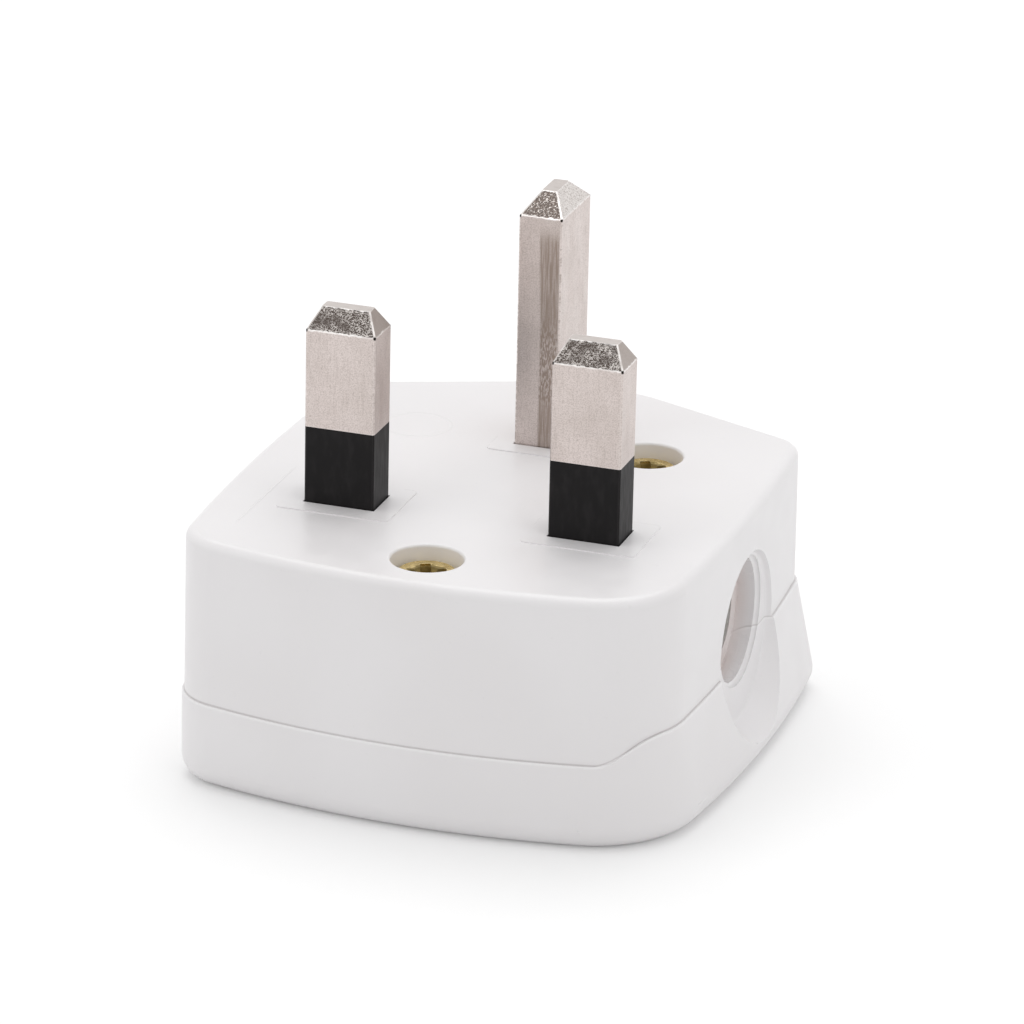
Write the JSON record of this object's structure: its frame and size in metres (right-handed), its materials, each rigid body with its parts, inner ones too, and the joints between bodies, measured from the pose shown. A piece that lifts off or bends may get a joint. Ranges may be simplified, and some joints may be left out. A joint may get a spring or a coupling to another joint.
{
  "type": "plug top",
  "caption": "Rewirable fused plug with rectangular pins, sleeved live pins, a moulded base and cover, and a cable entry in one side.",
  "frame": {"origin": "on the back of the cover, under the middle of the line and neutral pins", "axes": "+Z from the cover along the pins, +Y from the line and neutral pins towards the earth pin, +X from the line pin to the neutral pin and out of the cable entry"},
  "size_m": [0.0474, 0.0531, 0.046],
  "materials": {
    "body_white": "satin moulded white",
    "pin_nickel": "nickel plated, satin",
    "sleeve_black": "matt black moulded",
    "clip_bronze": "bright spring sheet",
    "bare_brass": "turned, bright",
    "fuse_ceramic": "unglazed",
    "cap_nickel": "nickel plated, bright",
    "fuse_wire": "bare wire",
    "screw_steel": "zinc plated",
    "grip_nylon": "matt moulded",
    "washer_fibre": "vulcanised fibre"
  },
  "bodies": {
    "root": {"base": "body_white", "cover": "body_white", "line_pin": "pin_nickel", "line_pin_sleeve": "sleeve_black", "neutral_pin": "pin_nickel", "neutral_pin_sleeve": "sleeve_black", "earth_pin": "pin_nickel", "fuse_clip_pin_side": "clip_bronze", "fuse_clip_terminal_side": "clip_bronze", "line_terminal": "bare_brass", "fuse_tube": "fuse_ceramic", "fuse_cap_pin_side": "cap_nickel", "fuse_cap_terminal_side": "cap_nickel", "fuse_element": "fuse_wire", "line_terminal_screw": "screw_steel", "neutral_terminal_screw": "screw_steel", "earth_terminal_screw": "screw_steel", "cord_grip": "grip_nylon", "cord_grip_screw_front": "screw_steel", "cord_grip_screw_rear": "screw_steel", "cover_screw_front": "bare_brass", "cover_screw_rear": "bare_brass", "cover_insert_front": "bare_brass", "cover_insert_rear": "bare_brass", "screw_retainer_front": "washer_fibre", "screw_retainer_rear": "washer_fibre"}
  },
  "joints": []
}
